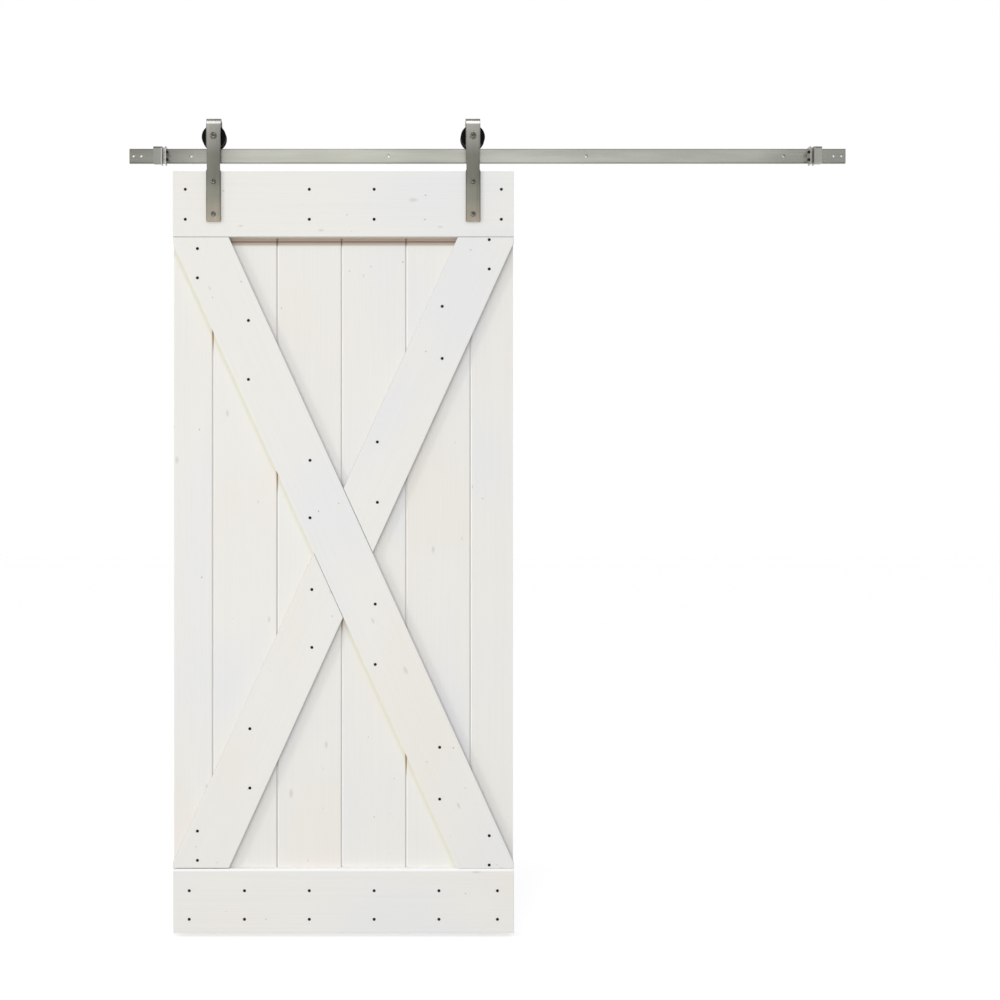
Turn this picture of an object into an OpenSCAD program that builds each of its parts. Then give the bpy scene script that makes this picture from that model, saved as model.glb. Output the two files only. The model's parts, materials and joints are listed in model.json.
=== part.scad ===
// Sliding barn door: a ledged and X-braced board leaf hung from two
// top-mount straps, each with a grooved wheel that rolls on a flat bar.
// X runs along the bar, the front faces -Y, the wall is the plane y = 0, Z is up.
// The origin is the centre of the bar's row of wall holes, on the wall plane.

/* [Door leaf] */
// Width of the leaf
door_w = 955; // [760:5:1300]
// Height of the leaf
door_h = 2134; // [1700:2:2600]
// Thickness of the vertical boards
board_t = 19; // [15:0.5:28]
// Width of the left-hand board, which is ripped to fit
left_board_w = 110; // [80:1:160]
// Width of the right-hand board, which is ripped to fit
right_board_w = 119; // [80:1:160]
// Width across the V between two boards
vee_w = 7; // [3:0.5:9]
// Length of the tongue on a board's right edge
tongue_l = 7; // [5:0.5:9]
// Thickness of the tongue
tongue_t = 6; // [4:0.5:7]
// Gap between two boards, and round each tongue
board_gap = 0.3; // [0.1:0.1:0.6]

/* [Rails and braces on the leaf] */
// Thickness of the rails and braces
frame_t = 19; // [15:0.5:28]
// Height of the top rail
top_rail_h = 184; // [150:1:230]
// Height of the bottom rail
bottom_rail_h = 180; // [150:1:230]
// Width of a brace, square to its length
brace_w = 150; // [110:1:180]
// Distance that each brace end runs down the door's side from its rail
brace_drop = 18; // [8:1:40]
// Gap at the butt joints of rails and braces
joint_gap = 0.4; // [0.2:0.1:1]
// Open gap at the foot of the lower short brace, which was cut a little short
short_brace_gap = 2; // [0.5:0.1:3]

/* [Nails] */
// Diameter of a nail's head
nail_head_d = 8.5; // [5:0.1:11]
// Height of a nail's head
nail_head_h = 1.6; // [0.8:0.1:2.5]
// Diameter of a nail's shank
nail_d = 2.2; // [1.6:0.1:3]
// Length of a nail under its head
nail_l = 34; // [25:0.5:37]
// Radial clearance round a nail's shank
nail_fit = 0.05; // [0.02:0.01:0.1]
// Upper and lower nail rows of the top rail, below the door's top
top_row_inset = [51, 135];
// Lower and upper nail rows of the bottom rail, above the door's foot
bottom_row_inset = [39, 119];
// Outer nail columns of the top rail, from the door's sides
top_nail_side = 35; // [20:1:60]
// Outer nail columns of the bottom rail, from the door's sides
bottom_nail_side = 46; // [20:1:60]
// Nails at a brace's end, from the door's side
end_nail_side = 69; // [50:1:90]
// Distance between the two nails at a brace's end
end_nail_pitch = 82; // [60:1:100]
// The nail pairs on a brace were marked out by eye at each middle board. Each is
// given as [off the board's middle, off the brace's centre line, pair's height].
// Pairs down the long brace
long_pairs = [[11, -15, 165], [2, -26, 161], [3, -32, 169], [2, -25, 145]];
// Pairs up the upper short brace
upper_pairs = [[9, 17, 169], [9, 10, 146]];
// Pairs up the lower short brace
lower_pairs = [[15, -1, 166], [7, 10, 162]];

/* [Flat bar] */
// Length of the bar
bar_l = 2012; // [1500:1:2600]
// Height of the bar
bar_h = 40; // [30:1:50]
// Thickness of the bar
bar_t = 6; // [4:0.5:8]
// Number of wall holes
wall_holes = 4; // [3:1:6]
// Distance from the bar's end to its first wall hole
first_hole = 173.5; // [140:0.5:220]
// Radius of a wall hole, and of the spacer's bore behind it
wall_hole_r = 4.5; // [3:0.1:6.5]
// Radius of the two joining holes at each end
end_hole_r = 3.3; // [2:0.1:4.5]
// Distance from the bar's end to its first joining hole
end_hole_inset = 11; // [8:0.5:16]
// Distance between the two joining holes
end_hole_pitch = 22; // [16:0.5:28]
// Outer radius of a spacer
spacer_r = 8; // [7.5:0.5:14]

/* [Hanging] */
// Gap between the wall and the back of the leaf
wall_gap = 16; // [14:0.5:30]
// Gap between the bar's lower edge and the top of the leaf
hang_gap = 26; // [18:0.5:40]
// Distance from the leaf's side to the centre of its strap
strap_inset = 114.5; // [80:0.5:200]
// Distance between the left strap and its stop, with the door as drawn
rest_gap = 106; // [0:1:400]

/* [Strap] */
// Width of a strap
strap_w = 40.5; // [34:0.5:50]
// Width of its neck, between the wheel and the leaf
neck_w = 37; // [30:0.5:40]
// Thickness of a strap
strap_t = 6; // [4:0.5:8]
// Length of a strap below the top of the leaf
strap_drop = 142; // [134:1:200]
// Length of the rear leg below the axle
rear_leg = 20; // [14:0.5:26]
// Gap between the wheel's top and the strap's bend
crown_gap = 13; // [6:0.5:18]
// Upper door bolt, below the top of the leaf
bolt_inset = 31; // [18:0.5:34]
// Distance between the two door bolts
bolt_pitch = 91; // [70:0.5:95]
// Radial clearance of the bolts in their holes
bolt_fit = 0.3; // [0.1:0.05:0.5]

/* [Wheel] */
// Radius of the tread
tread_r = 31; // [27:0.5:38]
// Height of the flanges over the tread
flange_h = 3; // [2:0.25:5]
// Width of the wheel
wheel_t = 22; // [18:0.5:28]
// Clearance between the tread and the bar
tread_gap = 0.2; // [0.1:0.05:0.4]
// Clearance on each side of the bar in the wheel's groove
groove_gap = 1; // [0.5:0.1:1.5]
// Gap between the wheel and the strap, on each side
wheel_gap = 2; // [1:0.25:3]

/* [Bearing] */
// Outer radius of the bearing
bearing_r = 15; // [13:0.5:17]
// Width of the bearing
bearing_w = 9; // [8:0.5:12]
// Radius of a ball
ball_r = 2.38; // [2:0.02:2.6]
// Number of balls
balls = 8; // [6:1:9]
// Clearance between the balls and their races
race_gap = 0.05; // [0.02:0.01:0.1]

/* [Bolts] */
// Diameter of the axle bolt
axle_d = 10; // [8:0.5:12]
// Diameter of the axle bolt's head
axle_head_d = 18; // [16:0.5:22]
// Height of the axle bolt's head
axle_head_h = 5.5; // [4:0.5:7]
// Diameter of a door bolt
door_bolt_d = 8; // [6:0.5:10]
// Diameter of a door bolt's head
door_head_d = 14; // [12:0.5:18]
// Height of a door bolt's head
door_head_h = 4.4; // [3:0.1:6]

/* [End stops] */
// Distance from the bar's end to the stop
stop_inset = 68; // [60:1:72]
// Width of the saddle
saddle_w = 24; // [18:0.5:30]
// Wall of the saddle
saddle_t = 5; // [4:0.5:6]
// Width of the bumper carrier
carrier_w = 14; // [12:0.5:18]
// Wall of the bumper carrier
carrier_t = 3; // [2:0.5:3.5]
// Distance that the carrier reaches below the bar
carrier_drop = 8; // [2:0.5:12]
// Radius of a bumper
bumper_r = 3.7; // [2.5:0.1:4.5]
// Length of a bumper
bumper_l = 6; // [4:0.5:9]
// Centre lines of the two bumpers, below the bar's top edge
bumper_inset = [14, 35];
// Radius of the saddle's set screws
set_screw_r = 3; // [2:0.25:4]

/* [Hidden] */
$fn = 64;
boards = 6;
SIDES = ["left", "right"];

// Depths behind and in front of the leaf, all towards the wall at y = 0
board_back = -wall_gap;
board_front = board_back - board_t;
frame_front = board_front - frame_t;
strap_gap = wheel_t + 2 * wheel_gap;
strap_back = frame_front;
strap_front = strap_back - strap_t;
wheel_y = strap_back + strap_gap / 2;
rear_leg_back = wheel_y + strap_gap / 2 + strap_t;
bar_back = wheel_y + bar_t / 2;
bar_front = wheel_y - bar_t / 2;

// Heights
bar_top = bar_h / 2;
bar_foot = -bar_h / 2;
flange_r = tread_r + flange_h;
wheel_z = bar_top + tread_gap + tread_r;
door_top = bar_foot - hang_gap;
door_foot = door_top - door_h;

// Places along the bar
stop_l = saddle_w + carrier_w + bumper_l;
hanger_half = door_w / 2 - strap_inset;
door_x = -bar_l / 2 + stop_inset + stop_l + rest_gap + strap_w / 2 + hanger_half;
hole_pitch = (bar_l - 2 * first_hole) / (wall_holes - 1);

// Boards: the middle ones share what the two ripped ones leave
board_pitch = (door_w - left_board_w - right_board_w) / (boards - 2);
function joint_x(i) = i == 0 ? 0 : i == boards ? door_w : left_board_w + (i - 1) * board_pitch;
function board_mid(i) = (joint_x(i - 1) + joint_x(i)) / 2;

// Braces: the panel between the rails, and the brace's angle from vertical,
// for which its two long edges meet the panel's opposite corners brace_drop away
panel_h = door_h - top_rail_h - bottom_rail_h;
panel_mid = bottom_rail_h + panel_h / 2;
corner_rise = panel_h - 2 * brace_drop;
brace_angle = acos(brace_w / sqrt(door_w ^ 2 + corner_rise ^ 2)) - atan2(corner_rise, door_w);
brace_run = brace_w / cos(brace_angle) - brace_drop * tan(brace_angle);
function brace_line(x, slope) = panel_mid + slope * (x - door_w / 2) / tan(brace_angle);

// Nail places on the leaf, as [x from its left side, z from its foot]
function end_pair(x, z, up) = [[x, z], [x, z + up * end_nail_pitch]];
function brace_pairs(first, pairs, slope) = [
    for (i = [0:len(pairs) - 1], half = [-1, 1])
    let (x = board_mid(first + i) + pairs[i][0])
    [x, brace_line(x, slope) + pairs[i][1] + half * pairs[i][2] / 2]
];
top_nails = [
    for (x = [top_nail_side, board_mid(3), board_mid(4), door_w - top_nail_side], z = top_row_inset)
    [x, door_h - z]
];
bottom_nails = [
    for (i = [1:boards], z = bottom_row_inset)
    [i == 1 ? bottom_nail_side : i == boards ? door_w - bottom_nail_side : board_mid(i), z]
];
panel_top = bottom_rail_h + panel_h;
right_nails_x = door_w - end_nail_side;
long_nails = concat(
    end_pair(end_nail_side, panel_top - 33, -1),
    brace_pairs(2, long_pairs, -1),
    end_pair(right_nails_x, bottom_rail_h + 11, 1)
);
upper_nails = concat(
    brace_pairs(boards / 2 + 1, upper_pairs, 1),
    end_pair(right_nails_x, panel_top - 8, -1)
);
lower_nails = concat(
    end_pair(end_nail_side, bottom_rail_h + 24, 1),
    brace_pairs(2, lower_pairs, 1)
);
all_nails = concat(top_nails, bottom_nails, long_nails, upper_nails, lower_nails);

// Door bolts on the leaf, as nail places
bolt_places = [
    for (x = [strap_inset, door_w - strap_inset], z = [bolt_inset, bolt_inset + bolt_pitch])
    [x, door_h - z]
];

// Bearing and bush radii, and the sizes of standard washers and nuts
pitch_r = (axle_d / 2 + bearing_r) / 2;
inner_shoulder_r = pitch_r - 0.67 * ball_r;
outer_shoulder_r = pitch_r + 0.71 * ball_r;
shield_seat_r = outer_shoulder_r + 0.5;
shield_t = 0.4;
shield_inset = 0.3;
shield_gap = 0.3;
bush_r = axle_d / 2 + 3;
shank_fit = 0.05;
washer_t = 2;
nut_h = 0.8;
nut_across_corners = 1.9;
thread_tail = 2.5;

// Draws children, given in the leaf's own [x, z] plane, on the leaf
module on_leaf(y) {
    translate([door_x - door_w / 2, y, door_foot]) rotate([90, 0, 0]) children();
}

// Extrudes an outline given as [y, z] along X
module along_x(l) {
    rotate([90, 0, 90]) linear_extrude(l) children();
}

// Places children at a strap: x at its centre line, z at the axle
module at_hanger(side) {
    translate([door_x + (side == "left" ? -1 : 1) * hanger_half, 0, wheel_z]) children();
}

// Mirrors the left stop for the right end of the bar
module at_stop(side) {
    mirror([side == "left" ? 0 : 1, 0, 0]) translate([stop_inset - bar_l / 2, 0, 0]) children();
}

// A straight round bar towards the front, its back end at y
module pin(r, y, l) {
    translate([0, y, 0]) rotate([90, 0, 0]) cylinder(r = r, h = l);
}

// A ring turned about the wheel's axis from points [radius, offset along it]
module turned(points) {
    translate([0, wheel_y, 0]) rotate([90, 0, 0]) rotate_extrude() polygon(points);
}

// ---------------------------------------------------------------- the bar

module rail() {
    color("darkgray") difference() {
        translate([-bar_l / 2, bar_front, bar_foot]) cube([bar_l, bar_t, bar_h]);
        for (i = [1:wall_holes])
            translate([hole_x(i), 0, 0]) pin(wall_hole_r, bar_back + 1, bar_t + 2);
        for (s = [-1, 1], n = [0, 1])
            translate([s * (bar_l / 2 - end_hole_inset - n * end_hole_pitch), 0, 0])
                pin(end_hole_r, bar_back + 1, bar_t + 2);
    }
}

function hole_x(i) = first_hole - bar_l / 2 + (i - 1) * hole_pitch;

module spacer(i) {
    color("darkgray") translate([hole_x(i), 0, 0]) difference() {
        pin(spacer_r, 0, -bar_back);
        pin(wall_hole_r, 1, 2 - bar_back);
    }
}

// ---------------------------------------------------------------- end stops
// Each is drawn from its own start, at stop_inset from the bar's left end.

// Hook over the bar: an upside-down U whose legs reach to front_foot and back_foot
module hook_outline(wall, front_foot, back_foot) {
    difference() {
        translate([bar_front - wall, front_foot])
            square([bar_t + 2 * wall, bar_top + wall - front_foot]);
        translate([bar_front, front_foot - 1]) square([bar_t, bar_top - front_foot + 1]);
        translate([bar_front, front_foot - 1])
            square([bar_t + wall + 1, back_foot - front_foot + 1]);
    }
}

saddle_foot = bar_foot - 1;
screw_places = [bar_top - bar_h / 4, bar_top - 3 * bar_h / 4];

module stop_saddle(side) {
    color("gray") at_stop(side) difference() {
        along_x(saddle_w) hook_outline(saddle_t, saddle_foot, bar_foot);
        for (z = screw_places)
            translate([saddle_w / 2, 0, z])
                pin(set_screw_r + nail_fit, bar_back + saddle_t + 1, saddle_t + 1);
    }
}

module stop_screws(side) {
    color("dimgray") at_stop(side) for (z = screw_places)
        translate([saddle_w / 2, 0, z]) difference() {
            pin(set_screw_r, bar_back + saddle_t + 1, saddle_t + 1);
            translate([0, bar_back + saddle_t + 2, 0]) rotate([90, 0, 0])
                cylinder(r = set_screw_r * 0.58, h = 4, $fn = 6);
        }
}

carrier_front = strap_front - 2;
carrier_foot = bar_foot - carrier_drop;
carrier_round = 9;
bumper_y = (strap_front + strap_back) / 2;

// Side cheek of the carrier: from the hook forwards, round at the top front corner
module cheek_outline() {
    depth = bar_front - carrier_front;
    height = bar_top + carrier_t - carrier_foot;
    translate([carrier_front, carrier_foot]) {
        square([depth, height - carrier_round]);
        translate([carrier_round, 0]) square([depth - carrier_round, height]);
        translate([carrier_round, height - carrier_round]) circle(carrier_round);
    }
}

module stop_carrier(side) {
    cheeks = [0, carrier_w - carrier_t];
    color("silver") at_stop(side) translate([saddle_w, 0, 0]) difference() {
        union() {
            along_x(carrier_w) hook_outline(carrier_t, bar_foot, bar_foot + bar_h / 4);
            for (x = cheeks) translate([x, 0, 0]) along_x(carrier_t) cheek_outline();
        }
        for (d = bumper_inset)
            translate([carrier_w - carrier_t - 1, bumper_y, bar_top - d]) rotate([0, 90, 0])
                cylinder(r = bumper_r * 0.4 + nail_fit, h = carrier_t + 2);
    }
}

// A button with a stem through the carrier's cheek and a barb behind it
module bumper() {
    stem = bumper_r * 0.4;
    edge = bumper_r * 0.3;
    rotate([0, 90, 0]) rotate_extrude() polygon([
        [0, -2.5], [stem * 0.6, -2.5], [stem * 1.6, 0], [stem, 0], [stem, carrier_t],
        [bumper_r, carrier_t], [bumper_r, carrier_t + bumper_l - edge],
        [bumper_r - edge, carrier_t + bumper_l], [0, carrier_t + bumper_l]
    ]);
}

module stop_bumpers(side) {
    color("black") at_stop(side) for (d = bumper_inset)
        translate([saddle_w + carrier_w - carrier_t, bumper_y, bar_top - d]) bumper();
}

// ---------------------------------------------------------------- the leaf

module nail_holes(places, depth) {
    for (p = places)
        translate([p.x, p.y, -1]) cylinder(r = nail_d / 2 + nail_fit, h = depth + 2);
}

module bolt_holes(places, depth) {
    for (p = places)
        translate([p.x, p.y, -1]) cylinder(r = door_bolt_d / 2 + bolt_fit, h = depth + 2);
}

// Board profile as [x, y], with a V at each joint, a tongue on the right
// edge and a groove on the left one
function left_edge(x, tongue_y, slot) = [
    [x, board_back], [x, tongue_y + slot], [x + tongue_l + board_gap, tongue_y + slot],
    [x + tongue_l + board_gap, tongue_y - slot], [x, tongue_y - slot],
    [x, board_front + vee_w / 2], [x + vee_w / 2, board_front]
];
function right_edge(x, tongue_y, half) = [
    [x - vee_w / 2, board_front], [x, board_front + vee_w / 2], [x, tongue_y - half],
    [x + tongue_l, tongue_y - half], [x + tongue_l, tongue_y + half],
    [x, tongue_y + half], [x, board_back]
];

module board(i) {
    x0 = joint_x(i - 1) + (i == 1 ? 0 : board_gap / 2);
    x1 = joint_x(i) - (i == boards ? 0 : board_gap / 2);
    reach = tongue_l + door_bolt_d;
    tongue_y = (board_front + board_back) / 2;
    near = function (places) [for (p = places) if (p.x > x0 - reach && p.x < x1 + reach) p];
    profile = concat(
        i == 1 ? [[x0, board_back], [x0, board_front]]
            : left_edge(x0, tongue_y, tongue_t / 2 + board_gap),
        i == boards ? [[x1, board_front], [x1, board_back]]
            : right_edge(x1, tongue_y, tongue_t / 2)
    );
    color("white") difference() {
        translate([door_x - door_w / 2, 0, door_foot]) linear_extrude(door_h) polygon(profile);
        on_leaf(board_back) {
            nail_holes(near(all_nails), board_t);
            bolt_holes(near(bolt_places), board_t);
        }
    }
}

module top_rail() {
    color("white") on_leaf(board_front) difference() {
        translate([0, door_h - top_rail_h]) cube([door_w, top_rail_h, frame_t]);
        nail_holes(top_nails, frame_t);
        bolt_holes(bolt_places, frame_t);
    }
}

module bottom_rail() {
    color("white") on_leaf(board_front) difference() {
        cube([door_w, bottom_rail_h, frame_t]);
        nail_holes(bottom_nails, frame_t);
    }
}

// The part of the panel between the two rails that a brace may fill
module panel(foot_gap) {
    translate([0, bottom_rail_h + foot_gap])
        square([door_w, panel_h - foot_gap - joint_gap]);
}

// The long brace runs from the top left to the bottom right corner in one piece
module long_brace() {
    color("white") on_leaf(board_front) difference() {
        linear_extrude(frame_t) intersection() {
            panel(joint_gap);
            polygon([
                [0, panel_top - brace_drop], [0, panel_top], [brace_run, panel_top],
                [door_w, bottom_rail_h + brace_drop], [door_w, bottom_rail_h],
                [door_w - brace_run, bottom_rail_h]
            ]);
        }
        nail_holes(long_nails, frame_t);
    }
}

// Butt end of a short brace against the long one, for the upper brace
butt_x = [joint_gap / 2, (brace_w + joint_gap) / 2] / cos(brace_angle);
butt_z = [(brace_w + joint_gap) / 2, joint_gap / 2] / sin(brace_angle);

module upper_brace() {
    color("white") on_leaf(board_front) difference() {
        linear_extrude(frame_t) intersection() {
            panel(joint_gap);
            polygon([
                [door_w / 2 + butt_x[0], panel_mid + butt_z[0]],
                [door_w / 2 + butt_x[1], panel_mid + butt_z[1]],
                [door_w, panel_top - brace_drop], [door_w, panel_top],
                [door_w - brace_run, panel_top]
            ]);
        }
        nail_holes(upper_nails, frame_t);
    }
}

module lower_brace() {
    color("white") on_leaf(board_front) difference() {
        linear_extrude(frame_t) intersection() {
            panel(short_brace_gap);
            polygon([
                [door_w / 2 - butt_x[0], panel_mid - butt_z[0]],
                [door_w / 2 - butt_x[1], panel_mid - butt_z[1]],
                [0, bottom_rail_h + brace_drop], [0, bottom_rail_h],
                [brace_run, bottom_rail_h]
            ]);
        }
        nail_holes(lower_nails, frame_t);
    }
}

module nails(places) {
    color("black") on_leaf(frame_front) for (p = places) translate([p.x, p.y]) {
        cylinder(d1 = nail_head_d, d2 = nail_head_d * 0.7, h = nail_head_h);
        translate([0, 0, -nail_l]) cylinder(d = nail_d, h = nail_l + nail_head_h / 2);
    }
}

// ---------------------------------------------------------------- hangers
// Each piece is drawn about the axle, at x = 0 and z = 0.

bend_z = flange_r + crown_gap - strap_gap / 2;
strap_foot = door_top - strap_drop - wheel_z;
corner_r = 3;
neck_foot = door_top - wheel_z;
neck_top = bar_top + tread_gap + 4 - wheel_z;
neck_slope = 2.5;

// Side view of the bent bar as [y, z]: front leg, half-round bend, rear leg
module strap_outline() {
    translate([strap_front, strap_foot]) square([strap_t, bend_z - strap_foot]);
    translate([rear_leg_back - strap_t, -rear_leg]) square([strap_t, bend_z + rear_leg]);
    translate([wheel_y, bend_z]) intersection() {
        difference() {
            circle(strap_gap / 2 + strap_t);
            circle(strap_gap / 2);
        }
        translate([-strap_gap, 0]) square([2 * strap_gap, strap_gap]);
    }
}

// Front view of the strap as [x, z], with its two lower corners rounded and
// a neck that slopes out to the full width at both ends
module strap_face() {
    height = bend_z + strap_gap / 2 + strap_t - strap_foot;
    difference() {
        translate([-strap_w / 2, strap_foot]) {
            translate([0, corner_r]) square([strap_w, height - corner_r]);
            translate([corner_r, 0]) square([strap_w - 2 * corner_r, corner_r]);
            for (x = [corner_r, strap_w - corner_r]) translate([x, corner_r]) circle(corner_r);
        }
        for (s = [-1, 1]) polygon([
            [s * strap_w, neck_foot], [s * strap_w / 2, neck_foot],
            [s * neck_w / 2, neck_foot + neck_slope], [s * neck_w / 2, neck_top - neck_slope],
            [s * strap_w / 2, neck_top], [s * strap_w, neck_top]
        ]);
    }
}

module strap(side) {
    color("gray") at_hanger(side) difference() {
        intersection() {
            translate([-strap_w / 2, 0, 0]) along_x(strap_w) strap_outline();
            rotate([90, 0, 0]) linear_extrude(-strap_front + 1) strap_face();
        }
        pin(axle_d / 2 + bolt_fit, rear_leg_back + 1, rear_leg_back - strap_front + 2);
        for (d = [0, bolt_pitch])
            translate([0, 0, door_top - bolt_inset - d - wheel_z])
                pin(door_bolt_d / 2 + bolt_fit, strap_back + 1, strap_t + 2);
    }
}

// Head of a button-head bolt with a hexagon socket, its underside at y = 0
module button_head(d, h) {
    rotate([90, 0, 0]) difference() {
        intersection() {
            cylinder(d = d, h = h);
            translate([0, 0, h - dome_r(d, h)]) sphere(r = dome_r(d, h));
        }
        translate([0, 0, h * 0.4]) cylinder(d = d * 0.4, h = h, $fn = 6);
    }
}

// Radius of the dome whose edge stands a quarter of the head's height up
function dome_r(d, h) = ((d / 2) ^ 2 + (0.75 * h) ^ 2) / (1.5 * h);

module axle_bolt(side) {
    tail = rear_leg_back + washer_t + nut_h * axle_d + thread_tail;
    color("silver") at_hanger(side) {
        translate([0, strap_front, 0]) button_head(axle_head_d, axle_head_h);
        pin(axle_d / 2 - shank_fit, tail, tail - strap_front + 1);
    }
}

// A flat ring against the face at y, towards the wall
module washer(bolt_d, y) {
    difference() {
        pin(bolt_d, y + washer_t, washer_t);
        pin(bolt_d / 2 + bolt_fit, y + washer_t + 1, washer_t + 2);
    }
}

// A hexagon nut against the face at y, towards the wall
module nut(bolt_d, y) {
    h = nut_h * bolt_d;
    difference() {
        translate([0, y + h, 0]) rotate([90, 0, 0])
            cylinder(d = nut_across_corners * bolt_d, h = h, $fn = 6);
        pin(bolt_d / 2, y + h + 1, h + 2);
    }
}

module axle_washer(side) {
    color("silver") at_hanger(side) washer(axle_d, rear_leg_back);
}

module axle_nut(side) {
    color("silver") at_hanger(side) nut(axle_d, rear_leg_back + washer_t);
}

module bush(side, end) {
    l = (strap_gap - bearing_w) / 2;
    y = end == "front" ? strap_back + l : wheel_y + strap_gap / 2;
    color("silver") at_hanger(side) difference() {
        pin(bush_r, y, l);
        pin(axle_d / 2 + shank_fit, y + 1, l + 2);
    }
}

// The door bolts' places on one strap, about the axle
module at_door_bolts(side) {
    at_hanger(side) for (d = [0, bolt_pitch])
        translate([0, 0, door_top - bolt_inset - d - wheel_z]) children();
}

module door_bolts(side) {
    tail = board_back + washer_t + nut_h * door_bolt_d + thread_tail;
    color("silver") at_door_bolts(side) {
        translate([0, strap_front, 0]) button_head(door_head_d, door_head_h);
        pin(door_bolt_d / 2 - shank_fit, tail, tail - strap_front + 1);
    }
}

module door_washers(side) {
    color("silver") at_door_bolts(side) washer(door_bolt_d, board_back);
}

module door_nuts(side) {
    color("silver") at_door_bolts(side) nut(door_bolt_d, board_back + washer_t);
}

// ---------------------------------------------------------------- wheels

rim_edge = 1.5;
rim_inner_r = tread_r - 9;
hub_r = rim_inner_r - 2;
ridge_h = 0.6;
ridge_r = tread_r - 3.5;

module wheel(side) {
    w = wheel_t / 2;
    web = bearing_w / 2 + 1;
    groove = bar_t / 2 + groove_gap;
    half = [
        [tread_r, groove], [flange_r, groove + flange_h * 0.4], [flange_r, w - rim_edge],
        [flange_r - rim_edge, w], [ridge_r, w], [ridge_r - ridge_h, w - ridge_h],
        [rim_inner_r, w - ridge_h], [hub_r, web], [bearing_r, web]
    ];
    other = [for (i = [len(half) - 1:-1:0]) [half[i][0], -half[i][1]]];
    color("black") at_hanger(side) turned(concat(half, other));
}

// The balls' path, cut into a ring as a torus
module race() {
    translate([0, wheel_y, 0]) rotate([90, 0, 0]) rotate_extrude()
        translate([pitch_r, 0]) circle(ball_r + race_gap);
}

function box_section(r0, r1, a0, a1) = [[r0, a0], [r1, a0], [r1, a1], [r0, a1]];

module bearing_inner_ring(side) {
    w = bearing_w / 2;
    color("silver") at_hanger(side) difference() {
        turned(box_section(axle_d / 2, inner_shoulder_r, -w, w));
        race();
    }
}

module bearing_outer_ring(side) {
    w = bearing_w / 2;
    seat = w - shield_inset - shield_t;
    color("silver") at_hanger(side) difference() {
        turned(box_section(outer_shoulder_r, bearing_r, -w, w));
        race();
        for (s = [-1, 1]) turned([
            [outer_shoulder_r - 1, s * seat], [shield_seat_r, s * seat],
            [shield_seat_r, s * (w + 1)], [outer_shoulder_r - 1, s * (w + 1)]
        ]);
    }
}

module bearing_balls(side) {
    color("silver") at_hanger(side) for (i = [1:balls])
        rotate([0, i * 360 / balls, 0]) translate([pitch_r, wheel_y, 0]) sphere(r = ball_r);
}

module bearing_shields(side) {
    seat = bearing_w / 2 - shield_inset - shield_t;
    color("silver") at_hanger(side) for (a = [seat, -seat - shield_t])
        turned(box_section(inner_shoulder_r + shield_gap, shield_seat_r, a, a + shield_t));
}

// ---------------------------------------------------------------- nodes

rail();
for (i = [1:wall_holes]) spacer(i);
for (i = [1:boards]) board(i);
top_rail();
bottom_rail();
long_brace();
upper_brace();
lower_brace();
nails(top_nails);  // top_rail_nails
nails(bottom_nails);  // bottom_rail_nails
nails(long_nails);  // long_brace_nails
nails(upper_nails);  // upper_brace_nails
nails(lower_nails);  // lower_brace_nails
for (side = SIDES) {
    stop_saddle(side);
    stop_carrier(side);
    stop_bumpers(side);
    stop_screws(side);
    strap(side);
    axle_bolt(side);
    axle_washer(side);
    axle_nut(side);
    bush(side, "front");
    bush(side, "rear");
    bearing_inner_ring(side);
    door_bolts(side);
    door_washers(side);
    door_nuts(side);
    wheel(side);
    bearing_outer_ring(side);
    bearing_balls(side);
    bearing_shields(side);
}
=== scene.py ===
import json
import math

import bmesh
import bpy
from mathutils import Euler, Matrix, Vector


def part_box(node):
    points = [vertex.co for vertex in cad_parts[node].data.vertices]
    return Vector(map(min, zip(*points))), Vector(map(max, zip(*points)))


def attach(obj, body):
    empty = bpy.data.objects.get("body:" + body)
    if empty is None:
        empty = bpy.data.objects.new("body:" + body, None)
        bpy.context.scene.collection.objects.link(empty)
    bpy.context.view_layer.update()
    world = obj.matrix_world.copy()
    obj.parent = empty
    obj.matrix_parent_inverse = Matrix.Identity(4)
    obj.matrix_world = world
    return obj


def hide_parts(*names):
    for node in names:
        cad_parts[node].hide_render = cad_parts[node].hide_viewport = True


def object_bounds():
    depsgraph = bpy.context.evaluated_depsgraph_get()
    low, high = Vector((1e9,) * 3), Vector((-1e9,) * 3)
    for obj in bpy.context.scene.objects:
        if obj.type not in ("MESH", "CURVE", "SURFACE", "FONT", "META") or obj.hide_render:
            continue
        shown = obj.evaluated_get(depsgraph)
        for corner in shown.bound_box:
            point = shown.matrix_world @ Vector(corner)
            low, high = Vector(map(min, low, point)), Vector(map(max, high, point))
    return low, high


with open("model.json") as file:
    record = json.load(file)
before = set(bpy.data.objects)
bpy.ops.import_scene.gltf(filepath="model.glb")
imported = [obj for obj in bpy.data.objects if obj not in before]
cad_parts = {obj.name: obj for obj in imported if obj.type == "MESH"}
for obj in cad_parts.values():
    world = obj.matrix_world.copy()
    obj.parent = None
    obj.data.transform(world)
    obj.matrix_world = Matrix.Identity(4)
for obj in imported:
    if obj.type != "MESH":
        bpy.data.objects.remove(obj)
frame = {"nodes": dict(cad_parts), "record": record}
cad_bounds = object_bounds()


# ---------------------------------------------------------------- the flat bar
# A bar of 40 x 6 mm mild steel, sawn to length and drilled for four wall screws
# and, at each end, two joining screws. It is satin-brushed lengthways on a belt,
# its arrises are just broken, and it is lacquered clear.

# One millimetre in metres
MM = 0.001


def linear(hex_colour, alpha=1.0):
    """An sRGB hex colour as linear red, green, blue and alpha."""
    parts = [int(hex_colour[i:i + 2], 16) / 255 for i in (1, 3, 5)]
    return [c / 12.92 if c <= 0.04045 else ((c + 0.055) / 1.055) ** 2.4 for c in parts] + [alpha]


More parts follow.
